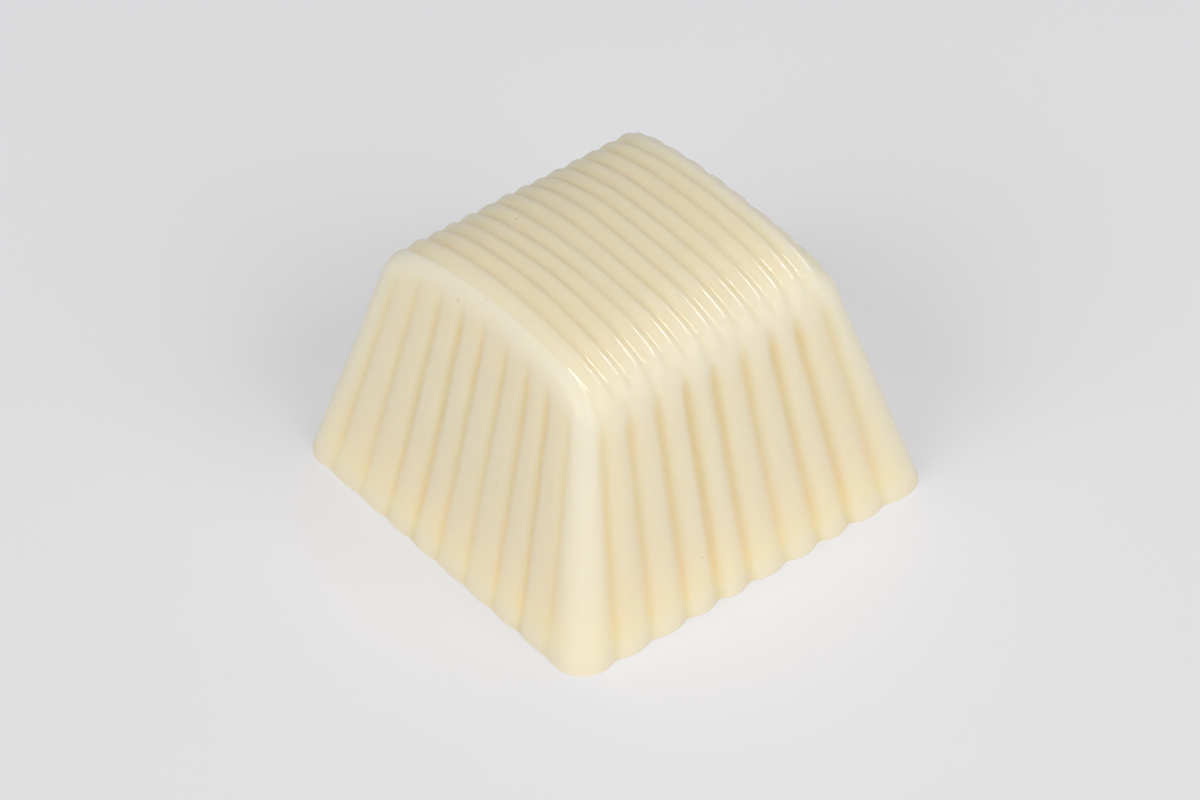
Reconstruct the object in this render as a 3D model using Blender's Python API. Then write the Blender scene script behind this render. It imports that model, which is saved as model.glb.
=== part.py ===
"""A moulded ivory sweet: a ribbed, tapered block with an arched, ribbed top.

The foot is a rounded square that lies flat at z = 0. Each of the four faces leans inwards and has
nine grooves, which draw together as they rise. The top is arched along X, and its fourteen grooves
run over the arch and down its two shoulders. A plain band parts the ribs of the faces from those
of the top. The origin is the middle of the foot, and all lengths are in metres.
"""

import bmesh
import bpy
import numpy as np

# The block: a rounded square whose faces lean inwards.
FOOT_WIDTH = 0.0270
HEIGHT = 0.0174
FACE_LEAN = 0.263            # inward run of a face for each unit of rise
FOOT_CORNER_RADIUS = 0.00200
TOP_EDGE_RADIUS = 0.00105    # also of the upright corners where they reach the top

# The faces: grooves that draw together as they rise, with round ribs between them.
FACE_GROOVES = 9
FACE_PITCH = 0.00254         # between two grooves at the foot
FACE_PITCH_VANISHES = 0.0752  # height at which the grooves of a face would meet
FACE_GROOVE_DEPTH = 0.00038
FACE_GROOVE_STARTS = 0.0010  # below the top
FACE_GROOVE_IS_FULL = 0.0026  # below the top

# The top: an arch along X with shoulders at its ends, and grooves that run over it.
ARCH_REACH = 0.0096          # from the crest to where the arch reaches a face
ARCH_DROP = 0.00225
SHOULDER_SHARE = 0.40        # of the drop
TOP_GROOVES = 14
TOP_PITCH = 0.001292
TOP_GROOVE_DEPTH = 0.00024

# How round a rib is: 2 is a parabola, and more is flatter on the crown.
RIB_ROUNDNESS = 2.5

# Where the mesh has its lines.
BROAD_RIB_LINES = (0.0, 0.12, 0.31, 0.5, 0.69, 0.88)  # shares of a rib from one groove to the next
SLIM_RIB_LINES = (0.0, 0.2, 0.5, 0.8)
SLIM_CORNER_LINES = 2        # between the outer groove of a face along X and the corner
EDGE_FAN = (0.2, 0.42, 0.68, 1.0)  # slopes of the lines round an edge, up to its diagonal
FOOT_ROWS = (0.0, 0.45)      # shares of the height of the core
BAND_ROWS = (0.0030, 0.0022, 0.0015, 0.0007, 0.0)  # below the top of the core
BAND_SLIDE = 0.5             # of the way from a face's lines to the top's lines, at the last row
SAME_POINT = 2e-6            # points nearer than this are one
HALVINGS = 40                # of the step to the surface, which is finer than a mesh can hold

IVORY = (0.80, 0.71, 0.50, 1.0)
IVORY_ROUGHNESS = 0.4
SHARP_EDGE = np.radians(50.0)


def clear_scene():
    """Remove every object that the file starts with."""
    for item in list(bpy.data.objects):
        bpy.data.objects.remove(item, do_unlink=True)


def ramp(value, start, end):
    """Rise smoothly from 0 at start to 1 at end."""
    share = np.clip((value - start) / (end - start), 0.0, 1.0)
    return share * share * (3.0 - 2.0 * share)


def groove_share(position, grooves):
    """Depth of a row of grooves, as a share: 1 in a groove and 0 on a rib's crown.

    The position is counted in pitches from the middle of the row. The surface rises to a crown on
    the outer side of the first and the last groove too, and is plain beyond that.
    """
    first = (grooves - 1) / 2.0
    nearest = np.clip(np.round(position + first), 0, grooves - 1) - first
    from_groove = np.minimum(np.abs(position - nearest), 0.5)
    return (1.0 - 2.0 * from_groove) ** RIB_ROUNDNESS


def half_width(z):
    """Half of the block's width across the crowns of its ribs, at a height."""
    return FOOT_WIDTH / 2.0 - FACE_LEAN * z


def face_pitch(z):
    """Distance between two grooves of a face, at a height."""
    return FACE_PITCH * (1.0 - z / FACE_PITCH_VANISHES)


def corner_radius(z):
    """Radius of the upright corners, which get sharper as they rise."""
    return FOOT_CORNER_RADIUS + (TOP_EDGE_RADIUS - FOOT_CORNER_RADIUS) * z / HEIGHT


def arch_height(x):
    """Height of the top across the crowns of its ribs.

    It falls away from the crest as a parabola, and as a sixth power that makes the shoulders.
    """
    reach = x / ARCH_REACH
    return HEIGHT - ARCH_DROP * ((1.0 - SHOULDER_SHARE) * reach ** 2 + SHOULDER_SHARE * reach ** 6)


def rounded_join(first, second, radius):
    """Distance outside a body that lies within two surfaces, with the edge between them rounded."""
    over_first = np.maximum(first + radius, 0.0)
    over_second = np.maximum(second + radius, 0.0)
    return np.minimum(np.maximum(first, second), -radius) + np.hypot(over_first, over_second)


def outside_faces(out, along, below_top, z):
    """Distance outside two opposite faces, with their grooves cut in."""
    depth = FACE_GROOVE_DEPTH * ramp(below_top, FACE_GROOVE_STARTS, FACE_GROOVE_IS_FULL)
    return np.abs(out) - half_width(z) + depth * groove_share(along / face_pitch(z), FACE_GROOVES)


def outside(point):
    """Distance outside the sweet: below 0 within it, and 0 on its surface."""
    x, y, z = point[..., 0], point[..., 1], point[..., 2]
    below_top = arch_height(np.minimum(np.abs(x), ARCH_REACH)) - z
    top = z - arch_height(x) + TOP_GROOVE_DEPTH * groove_share(y / TOP_PITCH, TOP_GROOVES)
    arch = rounded_join(outside_faces(x, y, below_top, z), top, TOP_EDGE_RADIUS)
    return rounded_join(outside_faces(y, x, below_top, z), arch, corner_radius(z))


def on_surface(start, way):
    """Go from points within the sweet along their ways until they meet its surface."""
    near = np.zeros(start.shape[:-1] + (1,))
    far = np.full_like(near, FOOT_WIDTH)
    for _ in range(HALVINGS):
        middle = (near + far) / 2.0
        within = outside(start + middle * way)[..., None] < 0.0
        near = np.where(within, middle, near)
        far = np.where(within, far, middle)
    return start + near * way


def rib_lines(grooves, shares):
    """Positions of mesh lines from the first groove to the last, in pitches from the middle."""
    first = (grooves - 1) / 2.0
    ribs = [groove + share - first for groove in range(grooves - 1) for share in shares]
    return np.array(ribs + [first])


def both_ends(middle, end):
    """A row of values with an end's values on both sides, turned over on the lower side."""
    return np.concatenate([-np.array(end)[::-1], middle, end])


def core_top(x):
    """Height of the core, the body inside the rounding of the top's edges."""
    return arch_height(x) - TOP_EDGE_RADIUS


def core_lines_along_x():
    """Starts of the top's mesh lines along X: evenly spread, and then at the core's end."""
    count = len(rib_lines(FACE_GROOVES, SLIM_RIB_LINES)) + 2 * SLIM_CORNER_LINES
    end = ARCH_REACH - TOP_EDGE_RADIUS
    return both_ends(np.linspace(-end, end, count), [end] * len(EDGE_FAN))


def core_lines_along_y():
    """Starts of the top's mesh lines along Y: on its ribs, and then at the outer groove."""
    ribs = rib_lines(TOP_GROOVES, SLIM_RIB_LINES) * TOP_PITCH
    return both_ends(ribs, [ribs[-1]] * len(EDGE_FAN))


def slopes(lines):
    """Slopes of the ways from a row of lines: none, but for the fan round an edge at each end."""
    return both_ends(np.zeros(len(lines) - 2 * len(EDGE_FAN)), EDGE_FAN)


def face_points(shares, core_lines, core_out, core_heights):
    """Starts and ways of one face's grid, from the foot up to the diagonal of the top edge.

    The mesh lines stand on the face's ribs, and slide over to the lines of the core's top in the
    plain band. Starts and ways are given along the face, out from the middle, and up.
    """
    fan = len(EDGE_FAN)
    ribs = rib_lines(FACE_GROOVES, shares)
    corner = (len(core_lines) - len(ribs)) // 2 - fan
    to_corner = np.append(np.arange(1, corner + 1) / corner, np.ones(fan))
    in_pitches = both_ends(ribs, np.full(corner + fan, ribs[-1]))
    past_ribs = both_ends(np.zeros(len(ribs)), to_corner)
    rises = [core_heights * share for share in FOOT_ROWS] + [core_heights - drop for drop in BAND_ROWS]
    z = np.array(rises + [core_heights] * fan)
    slide = np.array([0.0] * (len(rises) - 1) + [BAND_SLIDE] + [1.0] * fan)[:, None]
    climb = np.array([0.0] * len(rises) + list(EDGE_FAN))[:, None]
    centre = half_width(z) - corner_radius(z)
    on_ribs = in_pitches * face_pitch(z) + past_ribs * (centre - ribs[-1] * face_pitch(z))
    along = on_ribs * (1.0 - slide) + core_lines * slide
    out = centre * (1.0 - slide) + core_out * slide
    start = np.stack([along, out, z], axis=-1)
    way = np.stack(np.broadcast_arrays(slopes(core_lines), np.ones(z.shape), climb), axis=-1)
    return start, way


def top_points(lines_x, lines_y):
    """Grid of points for the top, out to the diagonals of its edges."""
    x, y = np.meshgrid(lines_x, lines_y, indexing="ij")
    slope_x, slope_y = np.meshgrid(slopes(lines_x), slopes(lines_y), indexing="ij")
    start = np.stack([x, y, core_top(x)], axis=-1)
    way = np.stack([slope_x, slope_y, np.ones(x.shape)], axis=-1)
    return on_surface(start, way)


def add_grid(mesh, points):
    """Add a grid of points to the mesh as four-sided faces."""
    grid = [[mesh.verts.new(point) for point in row] for row in points]
    for low, high in zip(grid, grid[1:]):
        for column in range(len(low) - 1):
            mesh.faces.new((low[column], low[column + 1], high[column + 1], high[column]))


def make_sweet():
    """Build the sweet as one closed body: four faces, the top and the flat foot."""
    lines_x = core_lines_along_x()
    lines_y = core_lines_along_y()
    heights_x = core_top(lines_x)
    heights_y = np.full(len(lines_y), heights_x[-1])
    start, way = face_points(SLIM_RIB_LINES, lines_x, lines_y[-1], heights_x)
    face_y = on_surface(start, way)
    start, way = face_points(BROAD_RIB_LINES, lines_y, lines_x[-1], heights_y)
    along_y = [1, 0, 2]
    face_x = on_surface(start[..., along_y], way[..., along_y])
    mesh = bmesh.new()
    for side in (1.0, -1.0):
        add_grid(mesh, face_x * (side, 1.0, 1.0))
        add_grid(mesh, face_y * (1.0, side, 1.0))
    add_grid(mesh, top_points(lines_x, lines_y))
    bmesh.ops.remove_doubles(mesh, verts=mesh.verts, dist=SAME_POINT)
    foot_edges = [edge for edge in mesh.edges if edge.is_boundary]
    bmesh.ops.contextual_create(mesh, geom=foot_edges)
    bmesh.ops.recalc_face_normals(mesh, faces=mesh.faces)
    data = bpy.data.meshes.new("sweet")
    mesh.to_mesh(data)
    mesh.free()
    data.shade_smooth()
    data.set_sharp_from_angle(angle=SHARP_EDGE)
    return data


def ivory_material():
    """Satin ivory chocolate."""
    material = bpy.data.materials.new("ivory_chocolate")
    material.use_nodes = True
    shader = material.node_tree.nodes["Principled BSDF"]
    shader.inputs["Base Color"].default_value = IVORY
    shader.inputs["Roughness"].default_value = IVORY_ROUGHNESS
    shader.inputs["Metallic"].default_value = 0.0
    return material


def main():
    """Make the sweet as the scene's one object."""
    clear_scene()
    data = make_sweet()
    data.materials.append(ivory_material())
    bpy.context.scene.collection.objects.link(bpy.data.objects.new("sweet", data))


main()
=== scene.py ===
"""The looks of a moulded white chocolate sweet, on a plain pale floor in soft light.

The sweet is one ribbed, tapered block with an arched top. It lies flat at z = 0 and stands round
the origin. The ribs of the top run along X. Lengths are in metres and angles in degrees.
"""

from typing import NamedTuple

import bmesh
import bpy
import numpy as np
from mathutils import Matrix, Vector


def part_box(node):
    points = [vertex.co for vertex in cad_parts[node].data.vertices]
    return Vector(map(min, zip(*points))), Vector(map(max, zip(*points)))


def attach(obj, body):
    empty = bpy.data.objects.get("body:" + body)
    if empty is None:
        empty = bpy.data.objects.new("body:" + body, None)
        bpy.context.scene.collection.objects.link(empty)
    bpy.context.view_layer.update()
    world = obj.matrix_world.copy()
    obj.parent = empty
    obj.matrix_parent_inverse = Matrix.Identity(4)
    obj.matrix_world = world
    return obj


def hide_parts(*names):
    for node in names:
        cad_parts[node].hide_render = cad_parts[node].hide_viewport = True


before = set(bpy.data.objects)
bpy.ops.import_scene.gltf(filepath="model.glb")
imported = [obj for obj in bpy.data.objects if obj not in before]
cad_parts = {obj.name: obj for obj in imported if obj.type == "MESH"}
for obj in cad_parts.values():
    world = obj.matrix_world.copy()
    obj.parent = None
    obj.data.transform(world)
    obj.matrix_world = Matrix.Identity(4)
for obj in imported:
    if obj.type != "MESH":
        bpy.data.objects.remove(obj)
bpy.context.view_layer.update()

MM = 0.001


class FaceGrooves(NamedTuple):
    """The row of upright grooves in each of two opposite faces."""

    axis: int          # that the two faces look along: 0 for X, 1 for Y
    near_side: float   # 1 or -1: the side of the near face of the two
    near_start: float  # of the near face's grooves, below the top, or above it where less than 0
    pitch: float       # between two grooves at the foot
    meeting: float     # height at which the grooves would meet
    shift: float       # of the whole row, from the middle
    depth: float
    foot_loss: float   # share of the depth that is lost at the foot
    softness: float    # of a groove's bottom, in pitches


# The block, whose box comes from the frame.
BOX_LOW, BOX_HIGH = (np.array(corner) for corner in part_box("sweet"))
HALF_FOOT = (BOX_HIGH[0] - BOX_LOW[0]) / 2.0
HEIGHT = BOX_HIGH[2]
FACE_LEAN = 0.263            # inward run of a face for each unit of rise
FOOT_CORNER_RADIUS = 2.0 * MM
TOP_EDGE_RADIUS = 1.05 * MM  # also of the upright corners where they reach the top
FOOT_EDGE_RADIUS = 0.02 * MM

# The ribs of the four faces.
X_FACES = FaceGrooves(
    axis=0,
    near_side=1.0,
    near_start=-0.5 * MM,
    pitch=2.54 * MM,
    meeting=75.2 * MM,
    shift=-0.18 * MM,
    depth=0.36 * MM,
    foot_loss=0.0,
    softness=0.12,
)
Y_FACES = FaceGrooves(
    axis=1,
    near_side=-1.0,
    near_start=0.3 * MM,
    pitch=2.58 * MM,
    meeting=70.0 * MM,
    shift=0.11 * MM,
    depth=0.25 * MM,
    foot_loss=0.45,
    softness=0.08,
)
FACE_GROOVES = 9
FACE_RIB_ROUNDNESS = 3.2     # 2 is a parabola, and more is flatter on the crown
FAR_START = -0.9 * MM        # of the far faces' grooves, which run out through the top edge
GROOVE_FADE = 3.0 * MM       # from the start to the full depth
FOOT_LOSS_STARTS = 2.5 * MM
OUTER_GROOVE_LOSS = 0.25     # share of the depth that the first and the last groove lack
OUTER_GROOVE_STEP = 0.1      # to each side, over which that loss comes in, in pitches
FACE_RUN_UNIT = 2.54 * MM    # length along a groove that counts as one pitch

# The ribs of the top, and the arch that they run over.
ARCH_REACH = 9.6 * MM
ARCH_DROP = 2.25 * MM
SHOULDER_SHARE = 0.40        # of the drop
TOP_GROOVES = 14
TOP_PITCH = 1.294 * MM
TOP_GROOVE_DEPTH = 0.14 * MM
TOP_ROW_SHIFT = 0.29 * MM    # of the whole row, along Y
TOP_RIB_ROUNDNESS = 2.2
TOP_RIB_LEAN = 0.18          # of the crowns towards +Y, in pitches
TOP_GROOVE_SOFTNESS = 0.17   # of a groove's bottom, in pitches
SHOULDER_FADE = 0.4          # share of the depth that is lost on the shoulder towards +X
SHOULDER_FADE_STARTS = 4.5 * MM
FAR_DEEPENING = 1.5          # share of the depth that is gained on the shoulder towards -X
FAR_DEEPENING_STARTS = 3.0 * MM
TOP_GROOVE_ENDS = (8.9 * MM, 9.8 * MM)  # where the grooves run out, towards +X

# How uneven the moulding is.
WANDER = 0.05                # of a groove to its sides, in pitches
WANDER_LENGTH = 16.0         # along a groove, in pitches
WANDER_APART = 4.0           # how much more the grooves differ across than along
UNEVENNESS = 0.12            # share of a groove's depth that comes and goes
SWELL = 0.02 * MM
SWELL_LENGTH = 9.0 * MM
SWELL_SEED = 7
WAVES_IN_SUM = 5
SHORTEST_WAVE = 0.33         # share of the longest

# Mesh lines.
FACE_RIB_STEPS = 18
TOP_RIB_STEPS = 12
FAN_STEPS = 14               # round an edge, up to its diagonal
FOOT_EDGE_STEPS = 4
LOW_ROWS = (0.02 * MM, 0.06 * MM, 0.2 * MM)  # above the foot's edge, which they keep crisp
FACE_ROWS = 30
BAND_ROWS = 26
BAND_HEIGHT = 3.4 * MM       # of the band of closer rows below the top
SLIDE_ROWS = 26              # over which a face's lines slide over to the top's lines
CORNER_ROOM = 0.15 * MM      # between the last groove and a corner's fan, at least
FOOT_SHARES = (0.9985, 0.995, 0.99, 0.97, 0.6, 0.0)  # of the foot's outline, drawn in
HALVINGS = 30
SAME_POINT = 0.0005 * MM     # points nearer than this are one

# The chocolate's colours, with its painted light and shade, and where they lie.
BODY_COLOUR = (0.915, 0.80, 0.565, 1.0)
PALER_BODY_COLOUR = (0.925, 0.812, 0.585, 1.0)
# Painted highlight: the edges are painted paler, for the glow and sheen that light gives them.
EDGE_HIGHLIGHT_COLOUR = (0.925, 0.833, 0.652, 1.0)
# Painted light: the foot is painted paler, for the light that the bright floor throws into it.
FOOT_LIGHT_COLOUR = (0.95, 0.845, 0.62, 1.0)
# Painted shade: the grooves are painted darker and warmer, for the shade that falls in them.
GROOVE_SHADE_COLOUR = (0.90, 0.775, 0.49, 1.0)
# Painted shade: the pinholes are only dark spots, and no pit is cut.
PINHOLE_SHADE_COLOUR = (0.50, 0.38, 0.24, 1.0)
CLOUDS_IN_A_METRE = 160.0
CLOUD_DETAIL = 2.0
EDGE_REACH = 2.6 * MM        # how far the painted highlight of the edges reaches
GROOVE_SHADE_POWER = 2.0    # more keeps the painted shade nearer to a groove's bottom
TOP_GROOVE_SHADE_SHARE = 0.4       # of the painted shade of a face's groove, for a groove of the top
PINHOLES_IN_A_METRE = 420.0
PINHOLE_CORE = 0.015         # full painted shade up to here, as a share of the way between pinholes
PINHOLE_RIM = 0.028          # no painted shade from here on

# How light goes into the chocolate and comes off it.
LIGHT_REACH = (3.4, 3.0, 2.4)  # of red, green and blue, in millimetres
FOOT_FADE = 2.0 * MM         # height over which light comes to spread within the chocolate
REFRACTION = 1.46
SPECULAR_LEVEL = 0.2
GLAZE = 0.42                 # weight of the thin glossy coat
EDGE_GLAZE = 0.08
GLAZE_ROUGHNESS = 0.1
SMOOTHEST = 0.26
ROUGHEST = 0.40
GRAINS_IN_A_METRE = 900.0
GRAIN_DETAIL = 3.0
GRAIN_STRENGTH = 0.25
GRAIN_HEIGHT = 0.03 * MM

# The floor, and the brighter sheet that lies hidden under the foot.
FLOOR_REACH = 1.5
FLOOR_Z = -0.004 * MM
FLOOR_COLOUR = (0.65, 0.648, 0.668, 1.0)
FLOOR_GLOW = 0.21
UNDER_SHEET_Z = -0.002 * MM
UNDER_SHEET_SHARES = (0.998, 0.0)  # of the foot's outline, drawn in
UNDER_SHEET_COLOUR = (0.65, 0.65, 0.65, 1.0)
UNDER_SHEET_GLOW = 0.52
SHEET_ROUGHNESS = 0.7
WHITE = (1.0, 1.0, 1.0, 1.0)

# The lights: name, azimuth, elevation and power in watts.
SOFT_BOXES = (
    ("left_box", 7.0, 38.0, 3.19),
    ("right_box", 97.0, 38.0, 3.32),
    ("overhead_box", 0.0, 89.0, 1.97),
    ("back_box", 187.0, 38.0, 0.27),
)
SOFT_BOX_SIZE = (0.7, 0.5)
GLOSS_STRIP = ("gloss_strip", 172.0, 60.0, 3.8)
GLOSS_STRIP_SIZE = (0.5, 0.05)
LIGHT_DISTANCE = 0.9
ROOM_LIGHT = 0.12

# The camera.
CAMERA_AZIMUTH = 52.14
CAMERA_ELEVATION = 41.40
CAMERA_ROLL = -1.46
CAMERA_DISTANCE = 281.3 * MM
CAMERA_AIM = Vector((-0.35, -0.66, 5.18)) * MM
CAMERA_LENS = 142.47         # in millimetres


def ramp(value, start, end):
    """Rise smoothly from 0 at start to 1 at end: three squares less two cubes of the share."""
    share = np.clip((value - start) / (end - start), 0.0, 1.0)
    return share * share * (3.0 - 2.0 * share)


def waves(seed, places, longest):
    """A soft uneven field: a sum of sines, each in a direction and from a start of its own.

    Their lengths run from the longest down to a third of it. The sum swings about 1 each way.
    """
    random = np.random.default_rng(seed)
    total = 0.0
    for _ in range(WAVES_IN_SUM):
        way = random.normal(size=len(places))
        way *= 2.0 * np.pi / (longest * random.uniform(SHORTEST_WAVE, 1.0)) / np.linalg.norm(way)
        along = sum(part * place for part, place in zip(way, places))
        total = total + np.sin(along + random.uniform(0.0, 2.0 * np.pi))
    return total / np.sqrt(WAVES_IN_SUM)


def groove_share(position, run, grooves, roundness, softness, lean=0.0):
    """Depth of a row of grooves, as a share: 1 in a groove and 0 on a rib's crown.

    The position is in pitches from the middle of the row, and the run in pitches along a groove.
    Each groove falls from 1 to 0 over half a pitch to each side, more or less the lean: one less
    the share of that way, to the power of the roundness. A hyperbola softens its bottom, and
    waves bend it and change its depth a little. The deeper of the two nearest grooves counts.
    """
    first = (grooves - 1) / 2.0
    below = np.floor(position + first)
    deepest = 0.0
    for number in (below, below + 1.0):
        groove = np.clip(number, 0, grooves - 1) - first
        place = (groove * WANDER_APART, run)
        away = position - groove - WANDER * waves(grooves, place, WANDER_LENGTH)
        sideways = np.hypot(away, softness) - softness
        reach = np.where(away > 0.0, 0.5 + lean, 0.5 - lean)
        share = np.maximum(1.0 - sideways / reach, 0.0) ** roundness
        uneven = 1.0 + UNEVENNESS * waves(grooves + 1, place, WANDER_LENGTH)
        deepest = np.maximum(deepest, share * uneven)
    return deepest


def half_width(z):
    """Half of the block's width across the crowns of its ribs: a straight line in height."""
    return HALF_FOOT - FACE_LEAN * z


def corner_radius(z):
    """Radius of the upright corners: a straight line in height."""
    return FOOT_CORNER_RADIUS + (TOP_EDGE_RADIUS - FOOT_CORNER_RADIUS) * z / HEIGHT


def arch_height(x):
    """Height of the top across its crowns: the crest less a parabola and less a sixth power."""
    reach = x / ARCH_REACH
    return HEIGHT - ARCH_DROP * ((1.0 - SHOULDER_SHARE) * reach ** 2 + SHOULDER_SHARE * reach ** 6)


def face_pitch(faces, z):
    """Distance between two grooves of a face: a straight line in height."""
    return faces.pitch * (1.0 - z / faces.meeting)


def face_groove_depth(faces, z):
    """Full depth of a face's grooves: all of it, but for a smooth loss towards the foot."""
    return faces.depth * (1.0 - faces.foot_loss * ramp(z, FOOT_LOSS_STARTS, 0.0))


def face_relief(faces, x, y, z):
    """Depth of the grooves in two opposite faces, as a share.

    They fade in smoothly below their starts, and the outer ones are shallower by a fixed share.
    The top is taken to stop falling past the arch's end.
    """
    out, along = (x, y) if faces.axis == 0 else (y, x)
    starts = np.where(out * faces.near_side > 0.0, faces.near_start, FAR_START)
    below_top = arch_height(np.minimum(np.abs(x), ARCH_REACH)) - z
    full = ramp(below_top, starts, starts + GROOVE_FADE)
    position = (along - faces.shift) / face_pitch(faces, z)
    last_rib = FACE_GROOVES / 2.0 - 1.0
    outer = ramp(np.abs(position), last_rib - OUTER_GROOVE_STEP, last_rib + OUTER_GROOVE_STEP)
    full = full * (1.0 - OUTER_GROOVE_LOSS * outer)
    run = z / FACE_RUN_UNIT
    return full * groove_share(position, run, FACE_GROOVES, FACE_RIB_ROUNDNESS, faces.softness)


def top_relief(x, y):
    """Depth of the top's grooves, as a share that changes smoothly along X.

    It is less on the shoulder towards +X, where the grooves run out, and more on the other.
    """
    full = 1.0 - SHOULDER_FADE * ramp(x, SHOULDER_FADE_STARTS, ARCH_REACH)
    full = full + FAR_DEEPENING * ramp(-x, FAR_DEEPENING_STARTS, ARCH_REACH)
    full = full * (1.0 - ramp(x, *TOP_GROOVE_ENDS))
    position = (y - TOP_ROW_SHIFT) / TOP_PITCH
    run = x / TOP_PITCH
    share = groove_share(position, run, TOP_GROOVES, TOP_RIB_ROUNDNESS, TOP_GROOVE_SOFTNESS, TOP_RIB_LEAN)
    return full * share


def rounded_join(first, second, radius):
    """Distance outside a body that lies within two surfaces, with the edge between them rounded.

    Near the edge it is the length of the two overshoots taken at right angles, and elsewhere it
    is the greater of the two distances.
    """
    over_first = np.maximum(first + radius, 0.0)
    over_second = np.maximum(second + radius, 0.0)
    return np.minimum(np.maximum(first, second), -radius) + np.hypot(over_first, over_second)


def outside_faces(faces, x, y, z):
    """Distance outside two opposite faces: beyond the half width, less what the grooves take."""
    out = x if faces.axis == 0 else y
    return np.abs(out) - half_width(z) + face_groove_depth(faces, z) * face_relief(faces, x, y, z)


def outside(point):
    """Distance outside the sweet: its faces, arch and foot with round edges, and a soft swell."""
    x, y, z = point[..., 0], point[..., 1], point[..., 2]
    top = z - arch_height(x) + TOP_GROOVE_DEPTH * top_relief(x, y)
    arch = rounded_join(outside_faces(X_FACES, x, y, z), top, TOP_EDGE_RADIUS)
    body = rounded_join(outside_faces(Y_FACES, x, y, z), arch, corner_radius(z))
    body = body + SWELL * waves(SWELL_SEED, (x, y, z), SWELL_LENGTH)
    return rounded_join(body, -z, FOOT_EDGE_RADIUS)


def on_surface(start, way):
    """Points where the ways from within the sweet meet its surface, by halving the distance."""
    near = np.zeros(start.shape[:-1] + (1,))
    far = np.full_like(near, 2.0 * HALF_FOOT)
    for _ in range(HALVINGS):
        middle = (near + far) / 2.0
        within = outside(start + middle * way)[..., None] < 0.0
        near = np.where(within, middle, near)
        far = np.where(within, far, middle)
    return start + near * way


def edge_fan():
    """Slopes of the lines round an edge: tangents of even angles, up to the diagonal."""
    return np.tan(np.linspace(0.0, np.pi / 4.0, FAN_STEPS + 1)[1:])


def both_ends(middle, end):
    """A row of values with an end's values on both sides, turned over on the lower side."""
    return np.concatenate([-np.asarray(end)[::-1], middle, end])


def slopes(lines):
    """Slopes of the ways from a row of lines: none, but for the fan round an edge at each end."""
    return both_ends(np.zeros(len(lines) - 2 * FAN_STEPS), edge_fan())


def rib_lines(grooves, steps):
    """Positions of mesh lines from the first groove to the last, in pitches from the middle."""
    first = (grooves - 1) / 2.0
    return np.linspace(-first, first, (grooves - 1) * steps + 1)


def core_top(x):
    """Height of the core, the body inside the rounding of the top's edges."""
    return arch_height(x) - TOP_EDGE_RADIUS


def core_lines():
    """Starts of the top's mesh lines: evenly spread along X, and on the ribs along Y.

    The lines of the fan round an edge all start at the core's end.
    """
    ribs = rib_lines(TOP_GROOVES, TOP_RIB_STEPS) * TOP_PITCH
    end = ARCH_REACH - TOP_EDGE_RADIUS
    lines_x = both_ends(np.linspace(-end, end, len(ribs)), np.full(FAN_STEPS, end))
    lines_y = both_ends(ribs, np.full(FAN_STEPS, ribs[-1])) + TOP_ROW_SHIFT
    return lines_x, lines_y


def corner_start(faces, z):
    """Where the fan round an upright corner starts: at its centre, or just past the last groove."""
    past_groove = (FACE_GROOVES - 1) / 2.0 * face_pitch(faces, z) + CORNER_ROOM + np.abs(faces.shift)
    return np.maximum(half_width(z) - corner_radius(z), past_groove)


def face_heights(core_heights):
    """Heights of a face's rows of mesh lines, from foot to top, above each of its columns.

    They lie at even turns round the foot's edge, close together just above it, evenly spread up
    the ribs, and closer again in the band below the top. The rows of the fan round the top edge
    all start at the core's top.
    """
    turns = np.linspace(0.0, np.pi / 2.0, FOOT_EDGE_STEPS + 1)[1:]
    low = np.append(FOOT_EDGE_RADIUS * (1.0 - np.cos(turns)), FOOT_EDGE_RADIUS + np.array(LOW_ROWS))
    shares = np.linspace(0.0, 1.0, FACE_ROWS, endpoint=False)[1:, None]
    drops = np.linspace(BAND_HEIGHT, 0.0, BAND_ROWS + 1)[:, None]
    return np.concatenate([
        np.broadcast_to(low[:, None], (len(low), len(core_heights))),
        FOOT_EDGE_RADIUS + (core_heights - BAND_HEIGHT - FOOT_EDGE_RADIUS) * shares,
        core_heights - drops,
        np.broadcast_to(core_heights, (FAN_STEPS, len(core_heights))),
    ])


def face_points(faces, side, lines, core_end, core_heights):
    """Points of one face: along it in the one direction, and from foot to top in the other.

    Each point is where a way out of the core meets the surface. The lines stand on the face's
    ribs, and slide over to the lines of the core's top in the band below it. The ways look
    straight out of the face, and fan out towards its corners and its top.
    """
    ribs = rib_lines(FACE_GROOVES, FACE_RIB_STEPS)
    plain = (len(lines) - len(ribs)) // 2 - FAN_STEPS
    to_corner = np.append(np.arange(1, plain + 1) / plain, np.ones(FAN_STEPS))
    past_ribs = both_ends(np.zeros(len(ribs)), to_corner)
    in_pitches = both_ends(ribs, np.full(len(to_corner), ribs[-1]))
    z = face_heights(core_heights)
    climb = np.append(np.zeros(len(z) - FAN_STEPS), edge_fan())[:, None]
    slide = ramp(np.arange(len(z)), len(z) - 1 - SLIDE_ROWS, len(z) - 1)[:, None]
    pitch = face_pitch(faces, z)
    to_start = corner_start(faces, z) - ribs[-1] * pitch
    on_ribs = in_pitches * pitch + past_ribs * to_start + faces.shift * (1.0 - np.abs(past_ribs))
    along = on_ribs * (1.0 - slide) + lines * slide
    other_faces = Y_FACES if faces is X_FACES else X_FACES
    out = side * corner_start(other_faces, z) * (1.0 - slide) + core_end * slide
    start = np.stack([along, out, z], axis=-1)
    way = np.stack(np.broadcast_arrays(slopes(lines), side, climb), axis=-1)
    order = [1, 0, 2] if faces.axis == 0 else [0, 1, 2]
    return on_surface(start[..., order], way[..., order])


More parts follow.
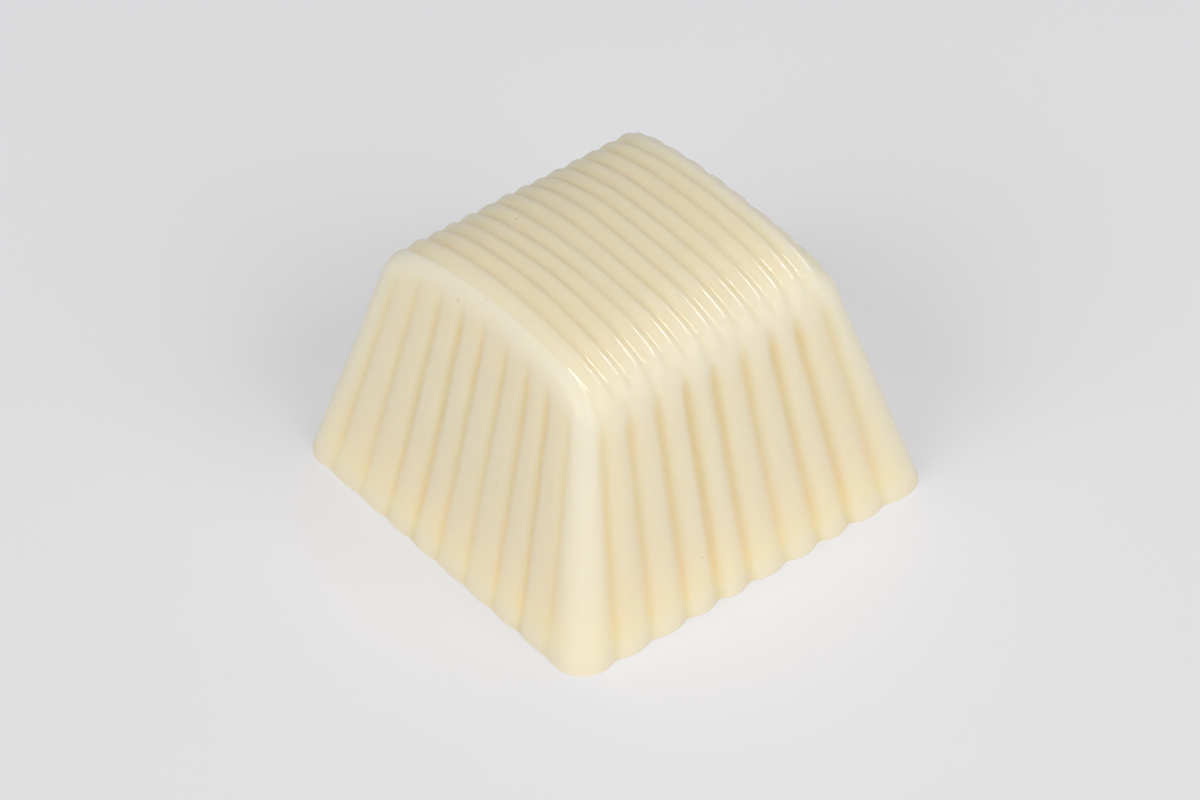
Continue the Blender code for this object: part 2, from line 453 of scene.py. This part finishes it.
def top_points(lines_x, lines_y):
    """Points of the top: along the arch in one direction and across its ribs in the other.

    The ways look straight up, and fan out at the four edges up to their diagonals.
    """
    x, y = np.meshgrid(lines_x, lines_y, indexing="ij")
    slope_x, slope_y = np.meshgrid(slopes(lines_x), slopes(lines_y), indexing="ij")
    start = np.stack([x, y, core_top(x)], axis=-1)
    way = np.stack([slope_x, slope_y, np.ones(x.shape)], axis=-1)
    return on_surface(start, way)


def drawn_in(ring, shares, z):
    """Points at one height: the foot's outline, drawn in to the middle by a row of shares."""
    shares = np.array(shares)[:, None]
    level = np.full((len(shares), len(ring)), z)
    return np.stack([ring[:, 0] * shares, ring[:, 1] * shares, level], axis=-1)


def foot_points(ring):
    """Points of the underside: the foot's outline, and what lies straight below its inside."""
    start = drawn_in(ring, FOOT_SHARES, FOOT_EDGE_RADIUS)
    way = np.broadcast_to((0.0, 0.0, -1.0), start.shape)
    return np.concatenate([ring[None], on_surface(start, way)])


def grid_faces(first, rows, columns):
    """Corner numbers of a grid's four-sided faces, from the number of its first point."""
    corner = first + np.arange(rows - 1)[:, None] * columns + np.arange(columns - 1)
    return np.stack([corner, corner + 1, corner + 1 + columns, corner + columns], axis=-1).reshape(-1, 4)


def joined_mesh(name, grids):
    """One mesh of several grids of points, whose shared edges and poles are merged."""
    points = []
    faces = []
    for grid in grids:
        faces.append(grid_faces(sum(len(part) for part in points), *grid.shape[:2]))
        points.append(grid.reshape(-1, 3))
    data = bpy.data.meshes.new(name)
    data.from_pydata(np.concatenate(points), [], np.concatenate(faces))
    mesh = bmesh.new()
    mesh.from_mesh(data)
    bmesh.ops.remove_doubles(mesh, verts=mesh.verts, dist=SAME_POINT)
    bmesh.ops.dissolve_degenerate(mesh, edges=mesh.edges, dist=SAME_POINT)
    bmesh.ops.recalc_face_normals(mesh, faces=mesh.faces)
    mesh.to_mesh(data)
    mesh.free()
    data.shade_smooth()
    return data


def add_shares(data):
    """Give each point two shares that the chocolate's looks follow.

    One share is the depth of its groove, less on the top, and sets the painted shade in the grooves.
    The other falls from 1 on an edge to 0 and sets the painted highlight along the edges: the distance
    from an edge is the second smallest of the distances to the two nearest faces and the top.
    """
    points = np.empty(len(data.vertices) * 3)
    data.vertices.foreach_get("co", points)
    x, y, z = points.reshape(-1, 3).T
    on_x_face = np.abs(x) > np.abs(y)
    in_face = np.where(on_x_face, face_relief(X_FACES, x, y, z), face_relief(Y_FACES, x, y, z))
    in_top = TOP_GROOVE_SHADE_SHARE * np.minimum(top_relief(x, y), 1.0)
    over = ramp(arch_height(x) - z, TOP_EDGE_RADIUS, 0.0)
    # Painted shade: how much of the darker, warmer groove colour each point gets.
    painted_groove_shade = in_face * (1.0 - over) + in_top * over
    inward = [half_width(z) - np.abs(x), half_width(z) - np.abs(y), arch_height(x) - z]
    edge = 1.0 - ramp(np.sort(inward, axis=0)[1], 0.0, EDGE_REACH)
    for name, share in (("painted_groove_shade", painted_groove_shade), ("edge", edge)):
        layer = data.attributes.new(name, "FLOAT", "POINT")
        layer.data.foreach_set("value", share.astype(np.float32))


def share_of(tree, name):
    """One of the shares that the mesh's points carry."""
    attribute = tree.nodes.new("ShaderNodeAttribute")
    attribute.attribute_name = name
    return attribute.outputs["Fac"]


def noise(tree, place, scale, detail):
    """A cloudy value between 0 and 1."""
    texture = tree.nodes.new("ShaderNodeTexNoise")
    texture.inputs["Scale"].default_value = scale
    texture.inputs["Detail"].default_value = detail
    tree.links.new(place, texture.inputs["Vector"])
    return texture.outputs["Fac"]


def spread(tree, value, between, to, interpolation="LINEAR"):
    """A value that goes from end to end of the second range as the given one does of the first."""
    change = tree.nodes.new("ShaderNodeMapRange")
    change.interpolation_type = interpolation
    change.inputs["From Min"].default_value, change.inputs["From Max"].default_value = between
    change.inputs["To Min"].default_value, change.inputs["To Max"].default_value = to
    tree.links.new(value, change.inputs["Value"])
    return change.outputs["Result"]


def mixed(tree, share, first, second):
    """A colour that goes from the first to the second as the share goes from 0 to 1.

    Each of the two is a plain colour or another node's colour.
    """
    mix = tree.nodes.new("ShaderNodeMix")
    mix.data_type = "RGBA"
    tree.links.new(share, mix.inputs["Factor"])
    for name, colour in (("A", first), ("B", second)):
        if isinstance(colour, tuple):
            mix.inputs[name].default_value = colour
        else:
            tree.links.new(colour, mix.inputs[name])
    return mix.outputs["Result"]


def chocolate_colour(tree, place, above_foot):
    """Ivory and cloudy, with a painted highlight along the edges, painted light towards the foot, and
    painted shade in the grooves and pinholes.
    """
    clouds = noise(tree, place, CLOUDS_IN_A_METRE, CLOUD_DETAIL)
    body = mixed(tree, clouds, BODY_COLOUR, PALER_BODY_COLOUR)
    # Painted highlight along the edges.
    with_edge_highlight = mixed(tree, share_of(tree, "edge"), body, EDGE_HIGHLIGHT_COLOUR)
    # Painted light, paler towards the foot.
    with_foot_light = mixed(tree, above_foot, FOOT_LIGHT_COLOUR, with_edge_highlight)
    # Painted shade in the grooves, darker and warmer towards a groove's bottom.
    depth = tree.nodes.new("ShaderNodeMath")
    depth.operation = "POWER"
    depth.inputs[1].default_value = GROOVE_SHADE_POWER
    tree.links.new(share_of(tree, "painted_groove_shade"), depth.inputs[0])
    with_groove_shade = mixed(tree, depth.outputs["Value"], with_foot_light, GROOVE_SHADE_COLOUR)
    # Painted shade of the pinholes: dark spots where no pit is cut.
    cells = tree.nodes.new("ShaderNodeTexVoronoi")
    cells.inputs["Scale"].default_value = PINHOLES_IN_A_METRE
    tree.links.new(place, cells.inputs["Vector"])
    pinhole_shade = spread(tree, cells.outputs["Distance"], (PINHOLE_CORE, PINHOLE_RIM), (1.0, 0.0))
    return mixed(tree, pinhole_shade, with_groove_shade, PINHOLE_SHADE_COLOUR)


def chocolate_material():
    """Satin white chocolate: waxy, faintly translucent, with a thin glaze that its edges lack.

    Its translucency fades out towards the foot, where the underside would swallow the light.
    """
    material = bpy.data.materials.new("white_chocolate")
    material.use_nodes = True
    tree = material.node_tree
    shader = tree.nodes["Principled BSDF"]
    shader.inputs["Subsurface Radius"].default_value = LIGHT_REACH
    shader.inputs["Subsurface Scale"].default_value = MM
    shader.inputs["IOR"].default_value = REFRACTION
    shader.inputs["Specular IOR Level"].default_value = SPECULAR_LEVEL
    shader.inputs["Coat Roughness"].default_value = GLAZE_ROUGHNESS

    place = tree.nodes.new("ShaderNodeTexCoord").outputs["Object"]
    parts = tree.nodes.new("ShaderNodeSeparateXYZ")
    tree.links.new(place, parts.inputs["Vector"])
    above_foot = spread(tree, parts.outputs["Z"], (0.0, FOOT_FADE), (0.0, 1.0), "SMOOTHSTEP")
    glaze = spread(tree, share_of(tree, "edge"), (0.0, 1.0), (GLAZE, EDGE_GLAZE), "SMOOTHSTEP")
    grain = noise(tree, place, GRAINS_IN_A_METRE, GRAIN_DETAIL)
    roughness = spread(tree, grain, (0.0, 1.0), (SMOOTHEST, ROUGHEST))
    bump = tree.nodes.new("ShaderNodeBump")
    bump.inputs["Strength"].default_value = GRAIN_STRENGTH
    bump.inputs["Distance"].default_value = GRAIN_HEIGHT
    tree.links.new(grain, bump.inputs["Height"])

    tree.links.new(chocolate_colour(tree, place, above_foot), shader.inputs["Base Color"])
    tree.links.new(above_foot, shader.inputs["Subsurface Weight"])
    tree.links.new(glaze, shader.inputs["Coat Weight"])
    tree.links.new(roughness, shader.inputs["Roughness"])
    tree.links.new(bump.outputs["Normal"], shader.inputs["Normal"])
    return material


def make_sweet():
    """The sweet: four faces, the arched top and the flat foot, as one closed surface.

    It gives back the foot's outline, as a ring of points for each face.
    """
    lines_x, lines_y = core_lines()
    heights_x = core_top(lines_x)
    heights_y = np.full(len(lines_y), heights_x[-1])
    faces = []
    for side, end in ((1.0, -1), (-1.0, 0)):
        faces.append(face_points(X_FACES, side, lines_y, lines_x[end], heights_y))
        faces.append(face_points(Y_FACES, side, lines_x, lines_y[end], heights_x))
    rings = [face[0] for face in faces]
    feet = [foot_points(ring) for ring in rings]
    data = joined_mesh("sweet_shell", faces + feet + [top_points(lines_x, lines_y)])
    add_shares(data)
    data.materials.append(chocolate_material())
    sweet = bpy.data.objects.new("sweet_shell", data)
    bpy.context.scene.collection.objects.link(sweet)
    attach(sweet, "root")
    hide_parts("sweet")
    return rings


def glowing_material(name, colour, glow):
    """A matt pale surface that glows a little, like a lit shooting table."""
    material = bpy.data.materials.new(name)
    material.use_nodes = True
    shader = material.node_tree.nodes["Principled BSDF"]
    shader.inputs["Base Color"].default_value = colour
    shader.inputs["Emission Color"].default_value = WHITE
    shader.inputs["Emission Strength"].default_value = glow
    shader.inputs["Roughness"].default_value = SHEET_ROUGHNESS
    return material


def place_stage_sheet(data, material):
    """Put a flat sheet of the stage into the scene."""
    data.materials.append(material)
    sheet = bpy.data.objects.new(data.name, data)
    bpy.context.scene.collection.objects.link(sheet)


def make_floor(rings):
    """A plain pale floor that runs out of sight on every side.

    A brighter sheet lies hidden under the foot, within its rings, so that the light inside the
    chocolate is not lost through its underside.
    """
    sides = ((-1.0, -1.0), (1.0, -1.0), (1.0, 1.0), (-1.0, 1.0))
    corners = [(FLOOR_REACH * x, FLOOR_REACH * y, FLOOR_Z) for x, y in sides]
    floor = bpy.data.meshes.new("floor")
    floor.from_pydata(corners, [], [(0, 1, 2, 3)])
    place_stage_sheet(floor, glowing_material("pale_floor", FLOOR_COLOUR, FLOOR_GLOW))
    grids = [drawn_in(ring, UNDER_SHEET_SHARES, UNDER_SHEET_Z) for ring in rings]
    sheet = joined_mesh("under_sheet", grids)
    place_stage_sheet(sheet, glowing_material("under_glow", UNDER_SHEET_COLOUR, UNDER_SHEET_GLOW))


def direction(azimuth, elevation):
    """The way from the sweet to a thing at an azimuth, which is 0 towards -Y, and an elevation."""
    around, up = np.radians((azimuth, elevation))
    return Vector((np.sin(around) * np.cos(up), -np.cos(around) * np.cos(up), np.sin(up)))


def add_light(name, azimuth, elevation, power, size):
    """A soft box that looks at the sweet."""
    data = bpy.data.lights.new(name, "AREA")
    data.shape = "RECTANGLE"
    data.size, data.size_y = size
    data.energy = power
    light = bpy.data.objects.new(name, data)
    back = direction(azimuth, elevation)
    light.location = back * LIGHT_DISTANCE
    light.rotation_euler = back.to_track_quat("Z", "Y").to_euler()
    bpy.context.scene.collection.objects.link(light)
    return light


def light_scene():
    """Soft boxes, pale light all round, and a strip at the back that only the gloss shows."""
    world = bpy.data.worlds.new("room")
    world.use_nodes = True
    room = world.node_tree.nodes["Background"]
    room.inputs["Color"].default_value = WHITE
    room.inputs["Strength"].default_value = ROOM_LIGHT
    bpy.context.scene.world = world
    for box in SOFT_BOXES:
        add_light(*box, SOFT_BOX_SIZE)
    strip = add_light(*GLOSS_STRIP, GLOSS_STRIP_SIZE)
    strip.visible_diffuse = False
    bpy.context.scene.view_settings.view_transform = "Standard"


def add_camera():
    """The camera: it looks down on the corner between the faces towards +X and -Y."""
    data = bpy.data.cameras.new("camera")
    data.lens = CAMERA_LENS
    camera = bpy.data.objects.new("camera", data)
    back = direction(CAMERA_AZIMUTH, CAMERA_ELEVATION)
    turn = back.to_track_quat("Z", "Y").to_matrix() @ Matrix.Rotation(np.radians(CAMERA_ROLL), 3, "Z")
    camera.matrix_world = Matrix.Translation(CAMERA_AIM + back * CAMERA_DISTANCE) @ turn.to_4x4()
    bpy.context.scene.collection.objects.link(camera)
    bpy.context.scene.camera = camera


make_floor(make_sweet())
light_scene()
add_camera()
